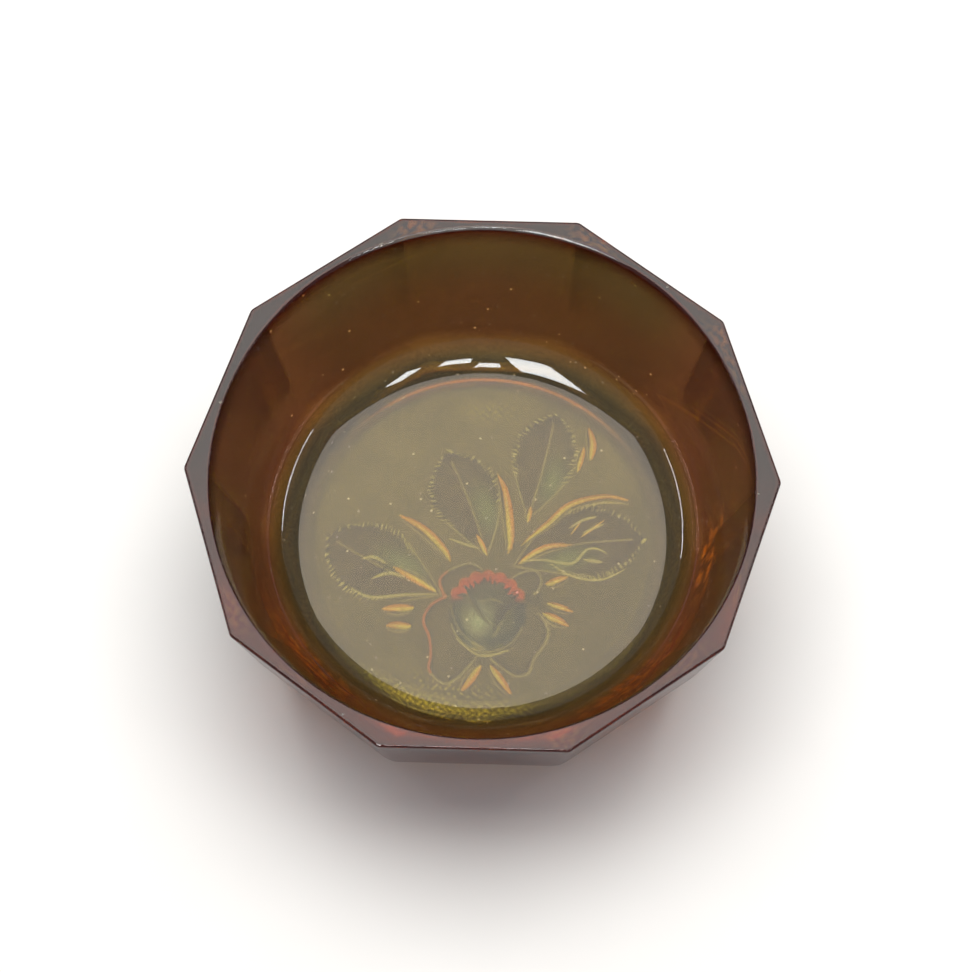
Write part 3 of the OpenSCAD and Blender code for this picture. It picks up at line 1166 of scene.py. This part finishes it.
def beam(lit_floor):
    """A narrow beam from above that lights only the patch of floor under the dish's recess."""
    lamp = bpy.data.lights.new("under_the_recess", "AREA")
    lamp.shape = "DISK"
    lamp.size = 2 * BEAM_RADIUS
    lamp.spread = BEAM_SPREAD
    lamp.energy = BEAM_POWER
    lamp.color = (1.0, 1.0, 1.0)
    thing = bpy.data.objects.new("under_the_recess", lamp)
    bpy.context.collection.objects.link(thing)
    thing.location = (0.0, 0.0, BEAM_HEIGHT)
    thing.light_linking.receiver_collection = lit_floor
    thing.light_linking.blocker_collection = lit_floor


def polar(distance, from_zenith, azimuth):
    """Point at a distance, an angle from straight up and an azimuth from +X, both in degrees."""
    tilt = math.radians(from_zenith)
    turn = math.radians(azimuth)
    flat = distance * math.sin(tilt)
    return (flat * math.cos(turn), flat * math.sin(turn), distance * math.cos(tilt))


def lights(dish, floor):
    """A softbox for everything, two lamps for the floor only, and the rest for the dish only."""
    mirrored = bpy.data.collections.new("mirrored_by_the_dish")
    mirrored.objects.link(dish)
    lit_floor = bpy.data.collections.new("lit_floor")
    lit_floor.objects.link(floor)
    softbox_above("overhead", *OVERHEAD)
    softbox_above("floor_fill", *FLOOR_FILL, lit_floor)
    for number, ((x, y), width, depth) in enumerate(PANES):
        name = "pane_%d" % number
        softbox_above(name, x, y, PANE_HEIGHT, width, depth, PANE_RADIANCE, PANE_COLOUR, mirrored)
    beam(lit_floor)
    for name, azimuth, radiance, colour in STRIPS:
        place = polar(STRIP_DISTANCE, STRIP_FROM_ZENITH, azimuth)
        softbox(name, place, STRIP_AIM, STRIP_LENGTH, STRIP_WIDTH, radiance, colour, mirrored)


def world():
    """Even, faintly blue surroundings."""
    scene_world = bpy.data.worlds.new("studio")
    bpy.context.scene.world = scene_world
    scene_world.use_nodes = True
    background = scene_world.node_tree.nodes["Background"]
    background.inputs["Color"].default_value = (0.93, 0.95, 1.0, 1.0)
    background.inputs["Strength"].default_value = 0.35


# The camera looks steeply down from the front, a little to one side of the Y axis.
CAMERA_DISTANCE = 597.55
CAMERA_ELEVATION = math.radians(68.67)
CAMERA_OFFSET = (0.85, -2.73)
CAMERA_ROLL = math.radians(-0.45)
CAMERA_TURN = math.radians(2.04)
CAMERA_LENS = 100.66
CAMERA_SENSOR = 36.0


def camera(size):
    """The view of the photo, turned about the dish's axis."""
    cos_up = math.cos(CAMERA_ELEVATION)
    sin_up = math.sin(CAMERA_ELEVATION)
    place = Vector((
        CAMERA_OFFSET[0],
        CAMERA_OFFSET[1] - CAMERA_DISTANCE * cos_up,
        size["height"] + CAMERA_DISTANCE * sin_up,
    ))
    forward = Vector((0, cos_up, -sin_up))
    right = Vector((1, 0, 0))
    up = right.cross(forward)
    rolled_right = right * math.cos(CAMERA_ROLL) + up * math.sin(CAMERA_ROLL)
    rolled_up = up * math.cos(CAMERA_ROLL) - right * math.sin(CAMERA_ROLL)
    pose = Matrix((rolled_right, rolled_up, -forward)).transposed().to_4x4()
    pose.translation = place * MM
    lens = bpy.data.cameras.new("camera")
    lens.lens = CAMERA_LENS
    lens.sensor_width = CAMERA_SENSOR
    lens.clip_start = 0.01
    thing = bpy.data.objects.new("camera", lens)
    bpy.context.collection.objects.link(thing)
    thing.matrix_world = Matrix.Rotation(CAMERA_TURN, 4, "Z") @ pose
    bpy.context.scene.camera = thing


size = sizes()
dish = glass_dish(size)
dish.data.materials.append(amber_glass())
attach(dish, "root")
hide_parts("rim_band", "facet_wall", "shoulder", "floor_panel", "foot_ring")
floor = stage_floor()
world()
lights(dish, floor)
camera(size)
bpy.context.scene.view_settings.view_transform = "Standard"
